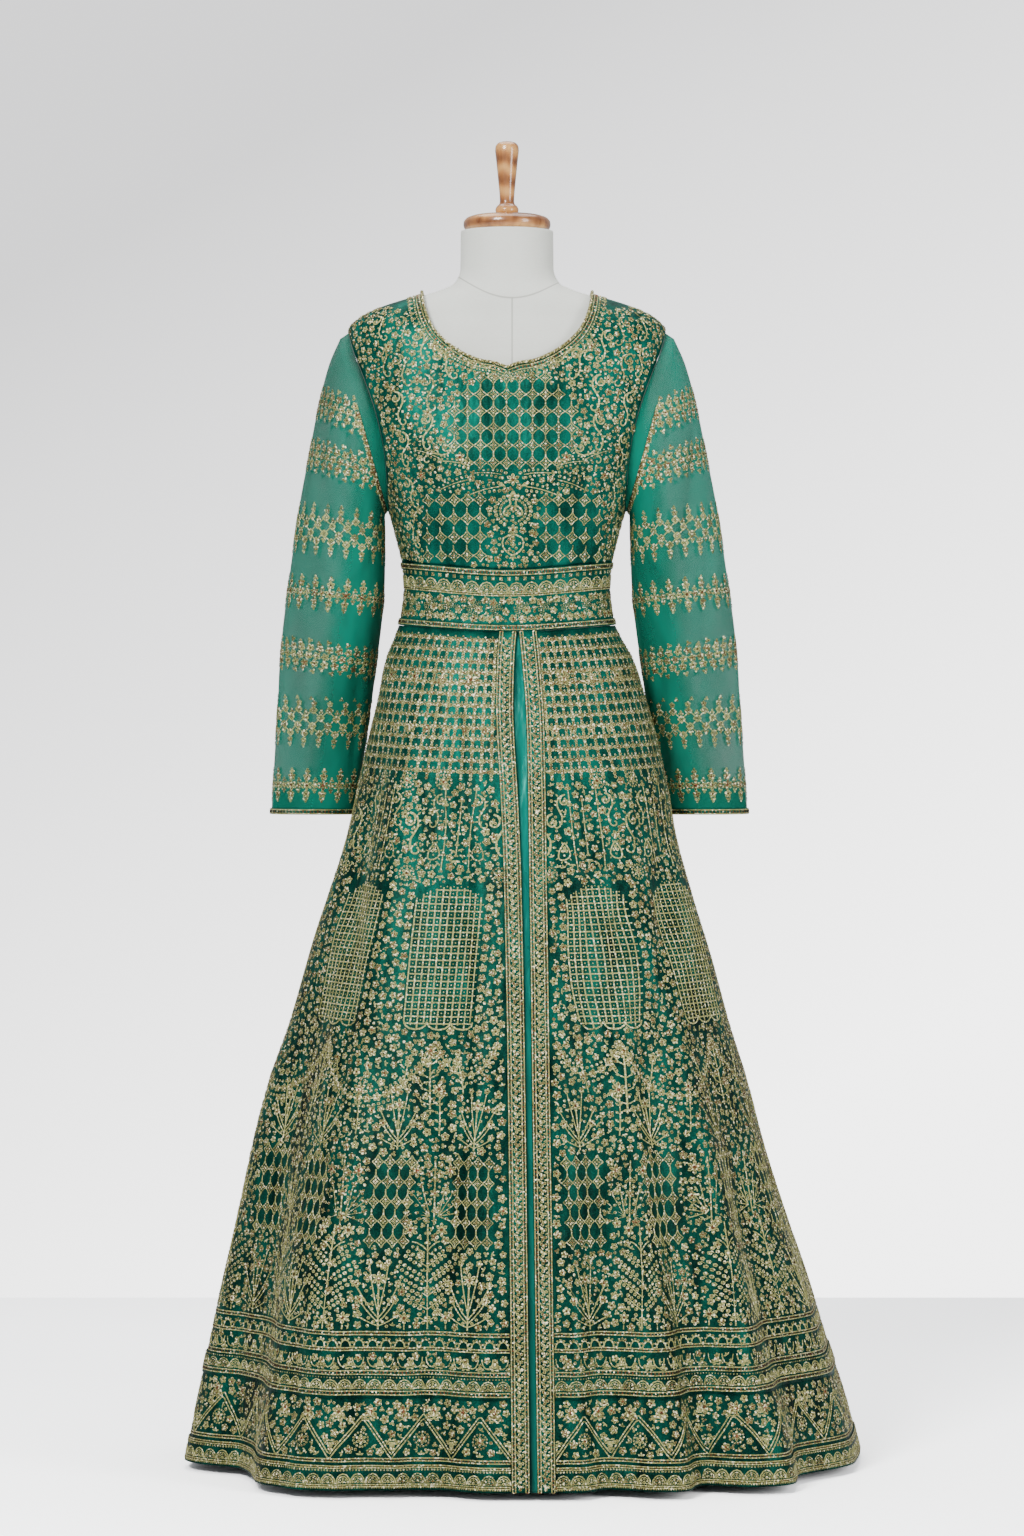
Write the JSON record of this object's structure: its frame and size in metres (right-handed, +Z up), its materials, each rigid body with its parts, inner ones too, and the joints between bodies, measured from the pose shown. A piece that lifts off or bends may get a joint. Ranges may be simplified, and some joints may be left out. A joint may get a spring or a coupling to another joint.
{
  "type": "lehenga gown on a dress form",
  "caption": "Floor-length embroidered gown with a fitted bodice, sheer long sleeves, a yoke band and a flared skirt slit in front, on a limbless dress form.",
  "frame": {"origin": "middle of the stand base's underside, on the floor under the form's axis", "axes": "+Z up, the gown's front faces -Y, +X to the right of someone looking at the front"},
  "size_m": [0.8034, 0.637, 1.5684],
  "materials": {
    "satin_embroidered": "emerald satin under net, worked all over in beige metallic thread",
    "sleeve_net": "sheer green net with worked bands",
    "zari_trim": "beige metallic thread braid with copper sequins",
    "plain_satin": "bright teal satin",
    "form_linen": "off-white linen over a firm form",
    "turned_wood": "glossy golden-brown turned wood",
    "stand_metal": "satin grey enamel"
  },
  "bodies": {
    "root": {"bodice_front": "satin_embroidered", "bodice_back_left": "satin_embroidered", "bodice_back_right": "satin_embroidered", "neck_piping": "zari_trim", "yoke_front": "satin_embroidered", "yoke_back": "satin_embroidered", "waist_braid": "zari_trim", "yoke_braid": "zari_trim", "skirt_front_left": "satin_embroidered", "skirt_front_right": "satin_embroidered", "skirt_back_left": "satin_embroidered", "skirt_back_right": "satin_embroidered", "slit_border_left": "zari_trim", "slit_border_right": "zari_trim", "hem_border": "zari_trim", "skirt_band": "zari_trim", "slit_underlap": "plain_satin", "sleeve_left": "sleeve_net", "cuff_braid_left": "zari_trim", "cuff_facing_left": "plain_satin", "sleeve_right": "sleeve_net", "cuff_braid_right": "zari_trim", "cuff_facing_right": "plain_satin", "form_torso": "form_linen", "neck_cap": "turned_wood", "neck_handle": "turned_wood", "stand_pole": "stand_metal", "stand_base": "stand_metal"}
  },
  "joints": []
}
